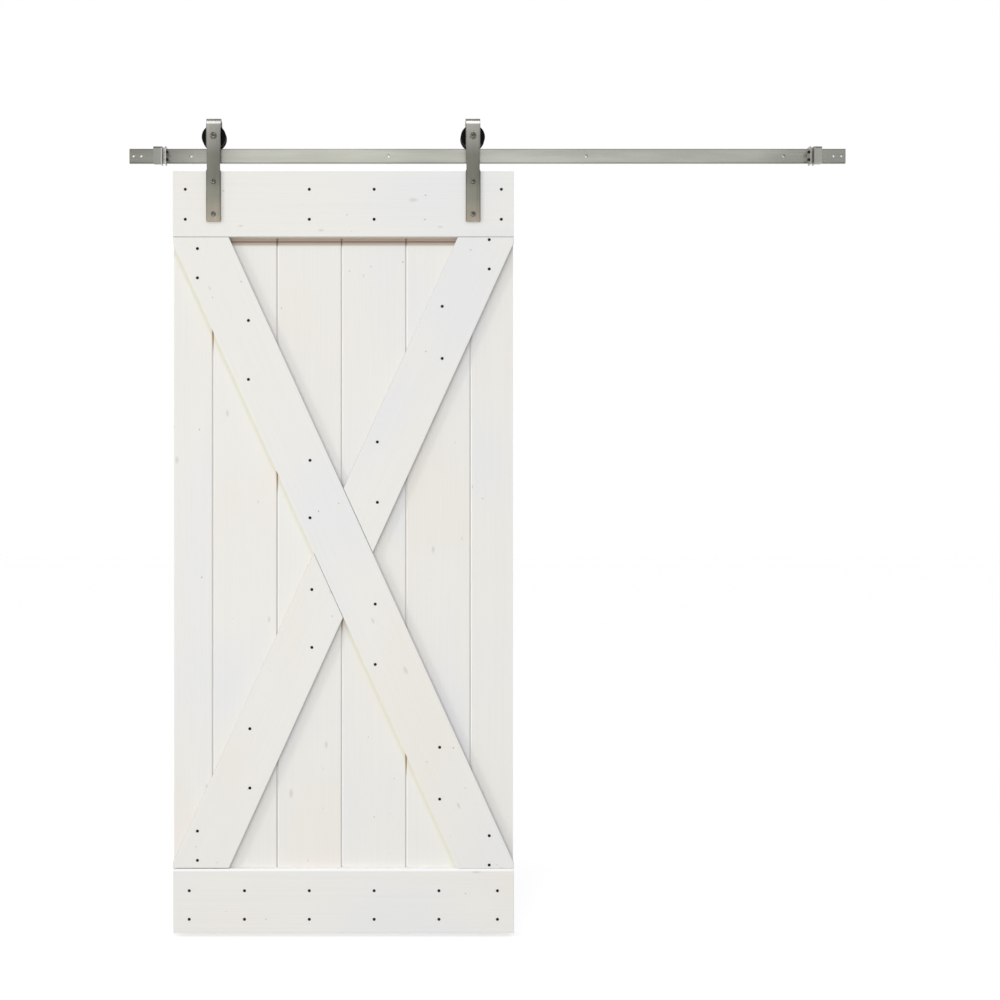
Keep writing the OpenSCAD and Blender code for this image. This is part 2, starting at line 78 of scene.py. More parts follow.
def add_node(tree, kind, settings=None, **sockets):
    """Adds a shader node. Each socket, by name or as in0, in1..., is given a value or a link."""
    node = tree.nodes.new("ShaderNode" + kind)
    for key, value in (settings or {}).items():
        setattr(node, key, value)
    for key, value in sockets.items():
        socket = node.inputs[int(key[2:]) if key[:2] == "in" else key.replace("_", " ")]
        if isinstance(value, bpy.types.NodeSocket):
            tree.links.new(value, socket)
        else:
            socket.default_value = value
    return node


def new_material(name, roughness, metallic=0.0, **constants):
    """A Principled material and its tree, with the values that are the same all over."""
    material = bpy.data.materials.new(name)
    material.use_nodes = True
    shader = material.node_tree.nodes["Principled BSDF"]
    shader.inputs["Roughness"].default_value = roughness
    shader.inputs["Metallic"].default_value = metallic
    for key, value in constants.items():
        shader.inputs[key.replace("_", " ")].default_value = value
    return material, material.node_tree, shader


def blend_colours(tree, factor, first, second, how="MIX"):
    """Mixes two colours, each a link or a hex colour, by a factor."""
    first, second = (linear(c) if isinstance(c, str) else c for c in (first, second))
    settings = {"data_type": "RGBA", "blend_type": how}
    return add_node(tree, "Mix", settings, in0=factor, in6=first, in7=second).outputs[2]


def ramp(tree, factor, stops):
    """A smooth colour ramp over [(place, hex colour or grey value), ...]."""
    node = add_node(tree, "ValToRGB", Fac=factor)
    node.color_ramp.interpolation = "EASE"
    while len(node.color_ramp.elements) < len(stops):
        node.color_ramp.elements.new(0.5)
    for element, (place, value) in zip(node.color_ramp.elements, stops):
        element.position = place
        element.color = linear(value) if isinstance(value, str) else (value, value, value, 1)
    return node.outputs["Color"]


def place_axes(tree):
    """A point's place on the object in metres, as a node with outputs X, Y and Z."""
    return add_node(tree, "SeparateXYZ", Vector=add_node(tree, "TexCoord").outputs["Object"])


def grain_space(tree, lean, seed):
    """Places turned so that Z runs along a piece that leans by so many degrees, moved by a seed."""
    place = add_node(tree, "TexCoord").outputs["Object"]
    upright = add_node(tree, "Mapping", Vector=place, Rotation=(0, math.radians(-lean), 0))
    moved = add_node(tree, "Mapping", Vector=upright.outputs[0], Location=(0.37 * seed, 0, 1.13 * seed))
    return moved.outputs[0]


def streaks(tree, space, width, length, detail):
    """Noise drawn out along Z: streaks of that width and length in metres."""
    stretched = add_node(tree, "Mapping", Vector=space, Scale=(1 / width, 1 / width, 1 / length))
    noise = add_node(tree, "TexNoise", Vector=stretched.outputs[0], Scale=1.0, Detail=detail)
    return noise.outputs["Fac"]


def bump(tree, shader, height, distance, strength=1.0):
    """Puts a height of that many metres on the shader."""
    node = add_node(tree, "Bump", Height=height, Distance=distance, Strength=strength)
    tree.links.new(node.outputs["Normal"], shader.inputs["Normal"])


# Belt-brushed mild steel, clear lacquered: a satin grey metal with fine
# lengthwise lines. The lines are 0.4 mm apart on the real bar and are drawn at
# twice that, so that they show.
def brushed_steel(name, light, dark, lean, roughness=0.38, seed=0.0):
    material, tree, shader = new_material(name, roughness, metallic=1.0)
    space = grain_space(tree, lean, seed)
    lines = streaks(tree, space, 0.8 * MM, 120 * MM, detail=4)
    patches = streaks(tree, space, 60 * MM, 420 * MM, detail=2)
    tone = add_node(tree, "Math", {"operation": "MULTIPLY_ADD"}, in0=lines, in1=0.45, in2=patches)
    colour = ramp(tree, tone.outputs[0], [(0.5, dark), (0.95, light)])
    tree.links.new(colour, shader.inputs["Base Color"])
    spread = add_node(tree, "MapRange", Value=lines, To_Min=roughness - 0.06, To_Max=roughness + 0.1)
    tree.links.new(spread.outputs[0], shader.inputs["Roughness"])
    bump(tree, shader, lines, 0.03 * MM, 0.5)
    return material


def multiply_base(material, tint):
    """Multiplies a material's base colour by another colour."""
    tree = material.node_tree
    base = tree.nodes["Principled BSDF"].inputs["Base Color"]
    tree.links.new(blend_colours(tree, 1.0, base.links[0].from_socket, tint, "MULTIPLY"), base)


def tint_along(material, node, axis, stops):
    """Tints a material by a ramp that runs from a CAD node's lowest to its highest end on an axis."""
    tree = material.node_tree
    low, high = (corner["XYZ".index(axis)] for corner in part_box(node))
    place = place_axes(tree).outputs[axis]
    share = add_node(tree, "MapRange", Value=place, From_Min=low, From_Max=high)
    multiply_base(material, ramp(tree, share.outputs[0], stops))


def dress(node, material):
    """Gives a CAD node that stays its material."""
    piece = frame["nodes"][node]
    piece.data.materials.clear()
    piece.data.materials.append(material)


def break_edges(node, width, segments=2, close=0.002 * MM):
    """Joins a CAD node's triangles into faces, closes holes up to that size and rounds its
    sharp edges."""
    piece = frame["nodes"][node]
    weld = piece.modifiers.new("weld", "WELD")
    weld.merge_threshold = close
    faces = piece.modifiers.new("faces", "DECIMATE")
    faces.decimate_type = "DISSOLVE"
    faces.angle_limit = math.radians(0.4)
    arris = piece.modifiers.new("arris", "BEVEL")
    arris.width = width
    arris.segments = segments
    arris.limit_method = "ANGLE"
    arris.angle_limit = math.radians(35)
    normals = piece.modifiers.new("normals", "WEIGHTED_NORMAL")
    normals.keep_sharp = True


bar_steel = brushed_steel("brushed_lacquered_bar_steel", "#DADBD0", "#BFC0B4", lean=90)
# Painted reflection: the bar is darker towards both ends, with brighter stretches between, as if it
# mirrored the lit room
tint_along(bar_steel, "rail", "X", [
    (0.0, 0.43), (0.06, 0.46), (0.1, 0.62), (0.18, 0.82), (0.31, 1.0), (0.42, 0.8),
    (0.6, 0.85), (0.78, 0.94), (0.86, 0.88), (0.93, 0.68), (1.0, 0.62)])
# Painted shade along the bar's top and bottom edges
tint_along(bar_steel, "rail", "Z", [(0.02, 0.6), (0.09, 1.0), (0.91, 1.0), (0.97, 0.62)])
dress("rail", bar_steel)
break_edges("rail", 0.5 * MM)


# ---------------------------------------------------------------- wall spacers
# Four lengths of thick steel tube that hold the bar off the wall, one behind
# each wall hole. They are turned, their ends are broken on the lathe, and they
# are clamped by the wall screws alone.

def circle_of(diameter):
    """A round section, as a radius for each angle and place along the axis."""
    return lambda angle, along: diameter / 2


def rounded(points, radius, steps=4):
    """A closed outline of [along, radius] corners with each corner rounded off."""
    result = []
    for i, here in enumerate(points):
        before, after = Vector(points[i - 1]), Vector(points[(i + 1) % len(points)])
        here = Vector(here)
        reach = min(radius, (before - here).length / 2, (after - here).length / 2)
        start = here + (before - here).normalized() * reach
        end = here + (after - here).normalized() * reach
        for k in range(steps + 1):
            t = k / steps
            result.append(start * (1 - t) ** 2 + here * 2 * t * (1 - t) + end * t ** 2)
    return result


def turned(name, profile, centres, facing=(0, -1, 0), closed=True, sides=48):
    """One mesh of equal turned pieces: profile is [(along, radius or section), ...] about the
    axis that faces that way. An open profile is closed by its own ends, which meet the axis."""
    build = bmesh.new()
    turn = Vector((0, 0, 1)).rotation_difference(Vector(facing)).to_matrix()
    for centre in centres:
        loops = []
        for along, section in profile:
            section = section if callable(section) else circle_of(2 * section)
            loop = []
            for k in range(sides):
                angle = 2 * math.pi * k / sides
                r = max(section(angle, along), 1e-6)
                place = turn @ Vector((r * math.cos(angle), r * math.sin(angle), along))
                loop.append(build.verts.new(place + Vector(centre)))
            loops.append(loop)
        pairs = list(zip(loops, loops[1:])) + ([(loops[-1], loops[0])] if closed else [])
        for a, b in pairs:
            for k in range(sides):
                build.faces.new((a[k], a[(k + 1) % sides], b[(k + 1) % sides], b[k]))
    bmesh.ops.remove_doubles(build, verts=build.verts, dist=0.004 * MM)
    bmesh.ops.recalc_face_normals(build, faces=build.faces)
    mesh = bpy.data.meshes.new(name)
    build.to_mesh(mesh)
    build.free()
    mesh.shade_smooth()
    mesh.set_sharp_from_angle(angle=math.radians(32))
    piece = bpy.data.objects.new(name, mesh)
    bpy.context.scene.collection.objects.link(piece)
    return piece


def stand_for(piece, node, material):
    """Puts a new piece in a CAD node's place: its body and its material."""
    piece.data.materials.append(material)
    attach(piece, body_of_node[node])
    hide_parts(node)


def middle(node):
    """The middle of a CAD node's box."""
    low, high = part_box(node)
    return (low + high) / 2


record = frame["record"]
body_of_node = {n: body for body, nodes in record["behaviour"]["bodies"].items() for n in nodes}
wall_hole_r = record["mounts"][0]["dims"]["hole_r_mm"] * MM
SPACER_EDGE = 0.9 * MM

# Turned mild steel, left bright from the lathe, with a near-mirror bore.
spacer_steel = brushed_steel("turned_spacer_steel", "#F0F0EC", "#DCDCD6", lean=0, roughness=0.16)
for number in range(1, 5):
    node = f"spacer_{number}"
    low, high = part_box(node)
    radius, length = (high.x - low.x) / 2, high.y - low.y
    outline = [(0, wall_hole_r), (0, radius), (length, radius), (length, wall_hole_r)]
    centre = Vector((middle(node).x, high.y, middle(node).z))
    tube = turned(f"spacer_tube_{number}", rounded(outline, SPACER_EDGE), [centre])
    stand_for(tube, node, spacer_steel)


# ---------------------------------------------------------------- end stops
# Each stop is a saddle folded from steel plate over the bar and clamped from
# behind by two grub screws, and beside it a narrower folded carrier that holds
# two rubber bumpers in the path of the strap's edge.

def mottled(name, roughness, dark, light, lumps_per_m, detail, relief=0.0, handled=0.0,
            light_at=0.8, **constants):
    """A material of two colours that mix in soft lumps, so many to a metre. The lumps stand
    proud by the relief, and handling has made it that much less rough between them."""
    material, tree, shader = new_material(name, roughness, **constants)
    place = add_node(tree, "TexCoord").outputs["Object"]
    lumps = add_node(tree, "TexNoise", Vector=place, Scale=lumps_per_m, Detail=detail).outputs["Fac"]
    colour = ramp(tree, lumps, [(0.3, dark), (light_at, light)])
    tree.links.new(colour, shader.inputs["Base Color"])
    if relief:
        bump(tree, shader, lumps, relief)
    if handled:
        gloss = add_node(tree, "MapRange", Value=lumps, To_Min=roughness - handled, To_Max=roughness)
        tree.links.new(gloss.outputs[0], shader.inputs["Roughness"])
    return material


# Natural rubber, moulded and matt black: almost no gloss, a slight bloom. The
# bloom's lumps are about 1 mm.
bumper_rubber = mottled("moulded_black_rubber", 0.75, "#0B0B0C", "#1C1C1D", 900.0, 2.0,
                        relief=0.05 * MM, light_at=0.75, Specular_IOR_Level=0.3)

# Black-oxide steel: a thin dull skin on an alloy screw, oily rather than shiny.
# The oil lies in lumps of 1.4 mm.
oxide_steel = mottled("black_oxide_steel", 0.42, "#141414", "#2C2B2A", 700.0, 4.0,
                      relief=0.02 * MM, metallic=1.0)


def hexagon_of(across_flats, within=1.0):
    """A hexagonal section, cut off outside a radius."""
    return lambda angle, along: min(
        within, across_flats / 2 / math.cos((angle % (math.pi / 3)) - math.pi / 6))


def thread_of(diameter, pitch):
    """A single-start thread of that pitch, as deep as a metric one."""
    depth = 0.61 * pitch

    def section(angle, along):
        phase = (along / pitch - angle / (2 * math.pi)) % 1
        return diameter / 2 - depth * (1 - abs(2 * phase - 1))
    return section


def thread_rings(start, end, diameter, pitch):
    """Profile rings for a thread from start to end, six to a turn."""
    steps = round((end - start) / pitch * 6)
    return [(start + (end - start) * k / steps, thread_of(diameter, pitch)) for k in range(steps + 1)]


def quarter_turn(steps):
    """Angles from nothing to a quarter turn, for a dome's profile."""
    return [math.pi / 2 * k / steps for k in range(steps + 1)]


# The carrier's cheek is 3 mm thick, and a bumper's barb snaps in behind it
CHEEK_T = 3 * MM
SCREW_PITCH = 1 * MM
SCREW_KEY_DEPTH = 3 * MM

for side in ("left", "right"):
    inward = 1 if side == "left" else -1
    saddle, carrier = f"{side}_stop_saddle", f"{side}_stop_carrier"
    # Satin-brushed; its top, where the plate is bent over the bar, is darkened with painted shade
    saddle_steel = brushed_steel(f"satin_saddle_steel_{side}", "#B2B3AB", "#94958E", lean=0,
                                 roughness=0.42, seed=2)
    tint_along(saddle_steel, saddle, "Z", [(0.88, 1.0), (0.94, 0.45)])
    dress(saddle, saddle_steel)
    break_edges(saddle, 1.0 * MM, 3)
    # Brighter, with painted shade along its two cheeks that dims their reflections
    carrier_steel = brushed_steel(f"bright_carrier_steel_{side}", "#DFDFDA", "#C0C0BA", lean=0,
                                  roughness=0.45, seed=3)
    tint_along(carrier_steel, carrier, "X", [(0.22, 0.7), (0.32, 1.0), (0.68, 1.0), (0.78, 0.7)])
    dress(carrier, carrier_steel)
    break_edges(carrier, 0.5 * MM, 3)

    node = f"{side}_stop_bumpers"
    low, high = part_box(node)
    cheek_low, cheek_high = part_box(carrier)
    button_r = (high.y - low.y) / 2
    stem_r = 0.4 * button_r
    tip, root, face = (high.x, low.x, cheek_high.x) if inward > 0 else (low.x, high.x, cheek_low.x)
    length, barb = abs(tip - face), -abs(face - root)
    profile = [(barb, 0), (barb, 0.6 * stem_r), (-CHEEK_T, 1.6 * stem_r), (-CHEEK_T, stem_r),
               (0, stem_r), (0, button_r)]
    profile += [(length - button_r * 0.45 * (1 - math.sin(a)), button_r * (0.55 + 0.45 * math.cos(a)))
                for a in quarter_turn(8)]
    profile.append((length, 0))
    centres = [(face, middle(node).y, z) for z in (low.z + button_r, high.z - button_r)]
    bumpers = turned(f"{side}_bumper_buttons", profile, centres, facing=(inward, 0, 0), closed=False)
    stand_for(bumpers, node, bumper_rubber)

    node = f"{side}_stop_screws"
    low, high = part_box(node)
    screw_d, length = high.x - low.x, high.y - low.y
    key = hexagon_of(0.5 * screw_d)
    profile = [(0, 0), (0, 0.3 * screw_d)]
    profile += thread_rings(0.6 * MM, length - 0.5 * MM, screw_d, SCREW_PITCH)
    profile += [(length, 0.42 * screw_d), (length, key), (length - SCREW_KEY_DEPTH, key),
                (length - SCREW_KEY_DEPTH, 0)]
    centres = [(middle(node).x, low.y, z) for z in (low.z + screw_d / 2, high.z - screw_d / 2)]
    screws = turned(f"{side}_grub_screws", profile, centres, facing=(0, 1, 0), closed=False)
    stand_for(screws, node, oxide_steel)


# ---------------------------------------------------------------- the boards
# Six knotty pine boards, tongued and grooved, with a V planed along each joint.
# They are nailed from the front through the rails and braces, and brush-painted
# white once the door is together, so the V's near the braces miss some paint.

VEE_DEPTH = 3.5 * MM
BRACE_W = 150 * MM
BRACE_DROP = 18 * MM
front_of_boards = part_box("board_1")[0].y

# The long brace's slope, from its width and the drop of its ends down the door's sides
brace_low, brace_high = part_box("long_brace")
panel_w, panel_h = brace_high.x - brace_low.x, brace_high.z - brace_low.z
rise = panel_h - 2 * BRACE_DROP
brace_lean = math.degrees(math.acos(BRACE_W / math.hypot(panel_w, rise)) - math.atan2(rise, panel_w))


def pine_marks(tree, space, cell_w, cell_l, size, seen, twist):
    """Soft round marks, one to a cell of board of that width and length. size is the largest
    radius as a share of a cell, and seen is the share of the marks that show."""
    axes = add_node(tree, "SeparateXYZ", Vector=space)
    spot = add_node(tree, "CombineXYZ", X=axes.outputs["X"], Y=axes.outputs["Z"], Z=twist)
    cells = add_node(tree, "Mapping", Vector=spot.outputs[0], Scale=(1 / cell_w, 1 / cell_l, 1),
                     Location=(twist, 2.7 * twist, 0))
    found = add_node(tree, "TexVoronoi", {"voronoi_dimensions": "2D"}, Vector=cells.outputs[0],
                     Scale=1.0)
    chance = add_node(tree, "SeparateColor", Color=found.outputs["Color"])
    reach = add_node(tree, "Math", {"operation": "MULTIPLY"}, in0=chance.outputs[0], in1=size)
    near = add_node(tree, "MapRange", {"interpolation_type": "SMOOTHSTEP"},
                    Value=found.outputs["Distance"], From_Min=reach.outputs[0], From_Max=0.0)
    shown = add_node(tree, "Math", {"operation": "LESS_THAN"}, in0=chance.outputs[1], in1=seen)
    marks = add_node(tree, "Math", {"operation": "MULTIPLY"}, in0=near.outputs[0], in1=shown.outputs[0])
    return marks.outputs[0]


def missed_paint_and_shade(tree, colour):
    """A board's colour with a painted highlight in its V's, painted shade beside the long brace and
    under the top rail, and bare pine where the brush missed the V's by the long brace. Only the board's
    front is marked."""
    place = place_axes(tree)
    behind = add_node(tree, "MapRange", Value=place.outputs["Y"], From_Min=front_of_boards,
                      From_Max=front_of_boards + 2 * VEE_DEPTH)
    depth = ramp(tree, behind.outputs[0], [(0.08, 0.0), (0.4, 1.0), (0.52, 1.0), (0.6, 0.0)])
    in_front = ramp(tree, behind.outputs[0], [(0.52, 1.0), (0.6, 0.0)])
    # How far a point lies along the long brace's normal, and how far its lower left edge does
    lean_cos, lean_sin = math.cos(math.radians(brace_lean)), math.sin(math.radians(brace_lean))
    across = add_node(tree, "VectorMath", {"operation": "DOT_PRODUCT"},
                      in0=add_node(tree, "TexCoord").outputs["Object"], in1=(lean_cos, 0, lean_sin))
    edge = brace_low.x * lean_cos + (brace_high.z - BRACE_DROP) * lean_sin

    def near(value, line, reach, start):
        """1 within start of a line, and less as far as reach."""
        offset = add_node(tree, "Math", {"operation": "SUBTRACT"}, in0=value, in1=line)
        distance = add_node(tree, "Math", {"operation": "ABSOLUTE"}, in0=offset.outputs[0])
        close = add_node(tree, "MapRange", {"interpolation_type": "SMOOTHSTEP"},
                         Value=distance.outputs[0], From_Min=reach, From_Max=start)
        share = add_node(tree, "Math", {"operation": "MULTIPLY"}, in0=close.outputs[0], in1=in_front)
        return share.outputs[0]

    # Painted shade shows cream on the boards beside the long brace, and bare pine lies at the bottom of
    # the V
    brace_shade = near(across.outputs["Value"], edge, 15 * MM, 4 * MM)
    bare = add_node(tree, "Math", {"operation": "MULTIPLY"}, in1=depth,
                    in0=near(across.outputs["Value"], edge, 30 * MM, 6 * MM)).outputs[0]
    # Painted shadow on the boards under the top rail, and a darker line of painted shade 8.5 mm below it
    rail_shadow = near(place.outputs["Z"], brace_high.z, 24 * MM, 13 * MM)
    corner_shade = near(place.outputs["Z"], brace_high.z - 8.5 * MM, 4 * MM, 1 * MM)
    # The V's are whitened as a painted highlight; the cream band, the shadow and the line below are
    # painted shade
    for where, stops, shade in (
            (depth, [(0, 0.0), (0.4, 1.0)], "#FFFFFC"),
            (brace_shade, [(0, 0.0), (1, 0.5)], "#DEDCC2"),
            (rail_shadow, [(0, 0.0), (1, 0.95)], "#BBAC9D"),
            (corner_shade, [(0, 0.0), (1, 0.8)], "#7E6B5C")):
        colour = blend_colours(tree, ramp(tree, where, stops), colour, shade)
    return blend_colours(tree, bare, colour, "#C6A97E")


# White satin trim paint over pine: soft, even and warm, with brush lines along
# the grain, knots that print through as faint marks, and a few dark specks.
def painted_pine(name, seed, lean, is_board=False):
    material, tree, shader = new_material(name, 0.5, Specular_IOR_Level=0.4)
    space = grain_space(tree, lean, seed)

    drift = streaks(tree, space, 280 * MM, 550 * MM, detail=1)
    colour = ramp(tree, drift, [(0.3, "#EAEBEA"), (0.5, "#EDEDE7"), (0.7, "#EEEBE4")])
    # Growth rings show as low ridges 4 mm apart, brush lines as finer ones
    rings = streaks(tree, space, 4 * MM, 300 * MM, detail=2)
    brushed = streaks(tree, space, 0.9 * MM, 70 * MM, detail=3)
    pale = ramp(tree, rings, [(0.35, 0.985), (0.65, 1.0)])
    colour = blend_colours(tree, 1.0, colour, pale, "MULTIPLY")

    # A knot fades out at up to 20 mm across. Half the knots and a third of the specks show
    knots = pine_marks(tree, space, 130 * MM, 300 * MM, 0.075, 0.5, 1.7 + seed)
    specks = pine_marks(tree, space, 70 * MM, 110 * MM, 0.045, 0.32, 5.2 + seed)
    for marks, share, shade in ((knots, 0.5, "#C9C3B6"), (specks, 0.75, "#97938A")):
        colour = blend_colours(tree, ramp(tree, marks, [(0, 0.0), (1, share)]), colour, shade)

    if is_board:
        colour = missed_paint_and_shade(tree, colour)
    tree.links.new(colour, shader.inputs["Base Color"])
    gloss = add_node(tree, "MapRange", Value=brushed, To_Min=0.42, To_Max=0.6)
    tree.links.new(gloss.outputs[0], shader.inputs["Roughness"])
    relief = add_node(tree, "Math", {"operation": "MULTIPLY_ADD"}, in0=brushed, in1=0.35, in2=rings)
    dished = add_node(tree, "Math", {"operation": "SUBTRACT"}, in0=relief.outputs[0], in1=knots)
    bump(tree, shader, dished.outputs[0], 0.1 * MM, 0.45)
    return material


def painted_edge_shade(material, facing, arris, side, both=False):
    """Paints shade on a plank: multiplies its colour on the arris and the side that face that way in X
    and Z, or also on the opposite ones."""
    tree = material.node_tree
    normal = add_node(tree, "TexCoord").outputs["Normal"]
    turn = add_node(tree, "VectorMath", {"operation": "DOT_PRODUCT"}, in0=normal,
                    in1=(facing[0], 0, facing[1])).outputs["Value"]
    if both:
        turn = add_node(tree, "Math", {"operation": "ABSOLUTE"}, in0=turn).outputs[0]
    stops = [(0.2, "#FFFFFF"), (0.45, arris), (0.85, arris), (0.97, side)]
    multiply_base(material, ramp(tree, turn, stops))


for number in range(1, 7):
    paint = painted_pine(f"painted_pine_board_{number}", number, 0, is_board=True)
    # Painted shade on each V's left side, which faces away from the light
    painted_edge_shade(paint, (1, 0), "#DCDAD9", "#FFFFFF")
    dress(f"board_{number}", paint)
    break_edges(f"board_{number}", 0.6 * MM)


# ---------------------------------------------------------------- rails and braces
# Planed pine planks 19 mm thick laid on the boards: a rail across the top and
# the foot, one long brace from corner to corner, and two short ones cut to butt
# against it. Their arrises are sanded before they are painted.

across_brace = (math.cos(math.radians(brace_lean)), math.sin(math.radians(brace_lean)))
for node, seed, lean in (("top_rail", 11, 90), ("bottom_rail", 14, 90), ("long_brace", 17, -brace_lean),
                         ("upper_brace", 20, brace_lean), ("lower_brace", 23, brace_lean)):
    paint = painted_pine(f"painted_pine_{node}", seed, lean)
    # Painted shade darkens the top rail's downward-facing arris and the braces' arrises and sides; the
    # rail's underside is a shade warmer
    if node == "top_rail":
        # Painted shade on the downward-facing arris, and a slightly warmer underside
        painted_edge_shade(paint, (0, -1), "#857B72", "#FFF6EC")
    elif node == "long_brace":
        # Painted shade in a cool grey on the arris and side that face up and to the right
        painted_edge_shade(paint, across_brace, "#DEDCE6", "#E4E2EC")
    elif node == "bottom_rail":
        # Painted highlight: its top edge is whitened where light from above falls on it
        tree = paint.node_tree
        base = tree.nodes["Principled BSDF"].inputs["Base Color"]
        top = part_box(node)[1].z
        top_highlight = add_node(tree, "MapRange", Value=place_axes(tree).outputs["Z"],
                        From_Min=top - 8 * MM, From_Max=top - 5 * MM).outputs[0]
        tree.links.new(blend_colours(tree, top_highlight, base.links[0].from_socket, "#FFFFFF"), base)
    else:
        # Painted shade on both long arrises and sides of the short braces
        painted_edge_shade(paint, (across_brace[0], -across_brace[1]), "#DCDADC", "#E4E2E4", both=True)
    dress(node, paint)
    # The nail holes are closed, as the heads hide them and they would keep the arris narrow
    break_edges(node, 2 * MM, 3, close=2.5 * MM)


# ---------------------------------------------------------------- nails
# Black wrought-style nails with small domed heads, driven through the planks
# into the boards and left unpainted as an ornament.

# Blackened steel: nearly no shine, and forged lumps of about 1.7 mm
nail_black = mottled("blackened_nail_steel", 0.6, "#060606", "#121110", 600.0, 3.0,
                     relief=0.08 * MM, Specular_IOR_Level=0.25)
SHANK_R = 1.05 * MM
POINT_L = 3 * MM
RIM_H = 0.25 * MM
front_of_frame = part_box("top_rail")[0].y


def head_centres(node, apart):
    """Centres in X and Z of a node's nail heads, which are at least that far apart, and their
    radius."""
    heads = []
    for vertex in frame["nodes"][node].data.vertices:
        if vertex.co.y > front_of_frame + 0.05 * MM:
            continue
        for head in heads:
            if max(abs(head[0].x - vertex.co.x), abs(head[0].z - vertex.co.z)) < apart:
                head.append(vertex.co)
                break
        else:
            heads.append([vertex.co])
    spans = [(min(v.x for v in head), max(v.x for v in head), min(v.z for v in head),
              max(v.z for v in head)) for head in heads]
    radius = (spans[0][1] - spans[0][0]) / 2
    return [((left + right) / 2, (foot + top) / 2) for left, right, foot, top in spans], radius


for plank in ("top_rail", "bottom_rail", "long_brace", "upper_brace", "lower_brace"):
    node = f"{plank}_nails"
    low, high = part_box(node)
    head_h, shank = front_of_frame - low.y, high.y - front_of_frame
    spots, head_r = head_centres(node, 12 * MM)
    profile = [(-shank, 0), (-shank + POINT_L, SHANK_R), (-0.05 * MM, SHANK_R), (0.02 * MM, head_r)]
    profile += [(RIM_H + (head_h - RIM_H) * math.sin(a), head_r * math.cos(a))
                for a in quarter_turn(6)]
    centres = [(x, front_of_frame, z) for x, z in spots]
    heads = turned(f"{plank}_nail_heads", profile, centres, closed=False, sides=20)
    stand_for(heads, node, nail_black)


# ---------------------------------------------------------------- hangers
# A strap of 40 x 6 mm steel bent over the wheel like a hairpin. The axle bolt
# runs through both legs and two bolts clamp the long leg to the door's face.
# The strap is belt-brushed along its length; painted reflection makes it darker than the bar.

for side, seed in (("left", 5), ("right", 8)):
    node = f"{side}_strap"
    strap_steel = brushed_steel(f"brushed_strap_steel_{side}", "#F4F4EC", "#CDCDC5", lean=0,
                                roughness=0.34, seed=seed)
    # Painted reflection: darkest at the neck and lighter towards the foot, with a painted highlight
    # across the front of the bend and darker painted reflection above it. Painted shade runs along the
    # strap's two long edges
    tint_along(strap_steel, node, "Z", [
        (0.0, "#C4BAAE"), (0.1, "#B4AFA3"), (0.26, "#9F9F97"), (0.45, "#8A8A84"), (0.62, "#8D8D87"),
        (0.8, "#ABABA7"), (0.925, "#BBBBB7"), (0.94, "#FFFFFF"), (0.974, "#FFFFFF"), (0.985, "#A9A9A5")])
    tint_along(strap_steel, node, "X", [(0.02, 0.6), (0.09, 1.0), (0.91, 1.0), (0.98, 0.6)])
    dress(node, strap_steel)
    break_edges(node, 0.7 * MM, 3)


# Zinc-plated steel for bolts, nuts and washers: a grey metal with quite sharp
# reflections, mottled in lumps of 4 mm where it was handled.
zinc = mottled("bright_zinc_plate", 0.3, "#62615A", "#7D7C74", 260.0, 3.0, handled=0.1, metallic=1.0)


def button_bolt(name, centres, head_d, head_h, shank_d, length, threaded, pitch):
    """Button-head bolts with a hexagon key socket. Their centres are under the head."""
    dome = [(0, 0.5 * head_d - 0.2 * MM), (0.2 * MM, 0.5 * head_d), (0.22 * head_h, 0.5 * head_d)]
    dome += [(head_h * (0.22 + 0.78 * math.sin(a)), 0.5 * head_d * (0.42 + 0.58 * math.cos(a)))
             for a in quarter_turn(8)[1:]]
    key = 0.36 * head_d
    socket = [(head_h, hexagon_of(key * 1.06)), (head_h - 0.3 * MM, hexagon_of(key)),
              (0.4 * head_h, hexagon_of(key)), (0.35 * head_h, 0)]
    shank = [(-length, 0), (-length, 0.38 * shank_d)]
    shank += thread_rings(-length + 0.6 * MM, -length + threaded, shank_d, pitch)
    shank += [(-length + threaded + 1 * MM, 0.5 * shank_d), (0, 0.5 * shank_d)]
    return turned(name, shank + dome + socket, centres, closed=False)


def hexagon_nut(name, centres, across_flats, height, bore_d):
    """Nuts with both faces chamfered, facing the wall."""
    full = across_flats / math.sqrt(3)
    chamfer = 0.16 * (full - across_flats / 2) + 0.3 * MM
    face = [(0, hexagon_of(across_flats, 0.95 * across_flats / 2)),
            (chamfer, hexagon_of(across_flats, 0.97 * full))]
    waist = [(0.5 * height, hexagon_of(across_flats))]
    far_face = [(height - along, section) for along, section in reversed(face)]
    bore = [(height, 0.53 * bore_d), (height - 0.5 * MM, 0.5 * bore_d),
            (0.5 * MM, 0.5 * bore_d), (0, 0.53 * bore_d)]
    return turned(name, face + waist + far_face + bore, centres, facing=(0, 1, 0))


def plain_washer(name, centres, outer_d, thickness, bore_d):
    """Stamped washers with rolled edges."""
    section = [(0, bore_d / 2), (0, outer_d / 2), (thickness, outer_d / 2), (thickness, bore_d / 2)]
    return turned(name, rounded(section, 0.35 * MM, 3), centres, facing=(0, 1, 0))


WASHER_PLAY = 0.6 * MM
THREAD_PLAY = 0.1 * MM
THREAD_PAST_WASHER = 4 * MM

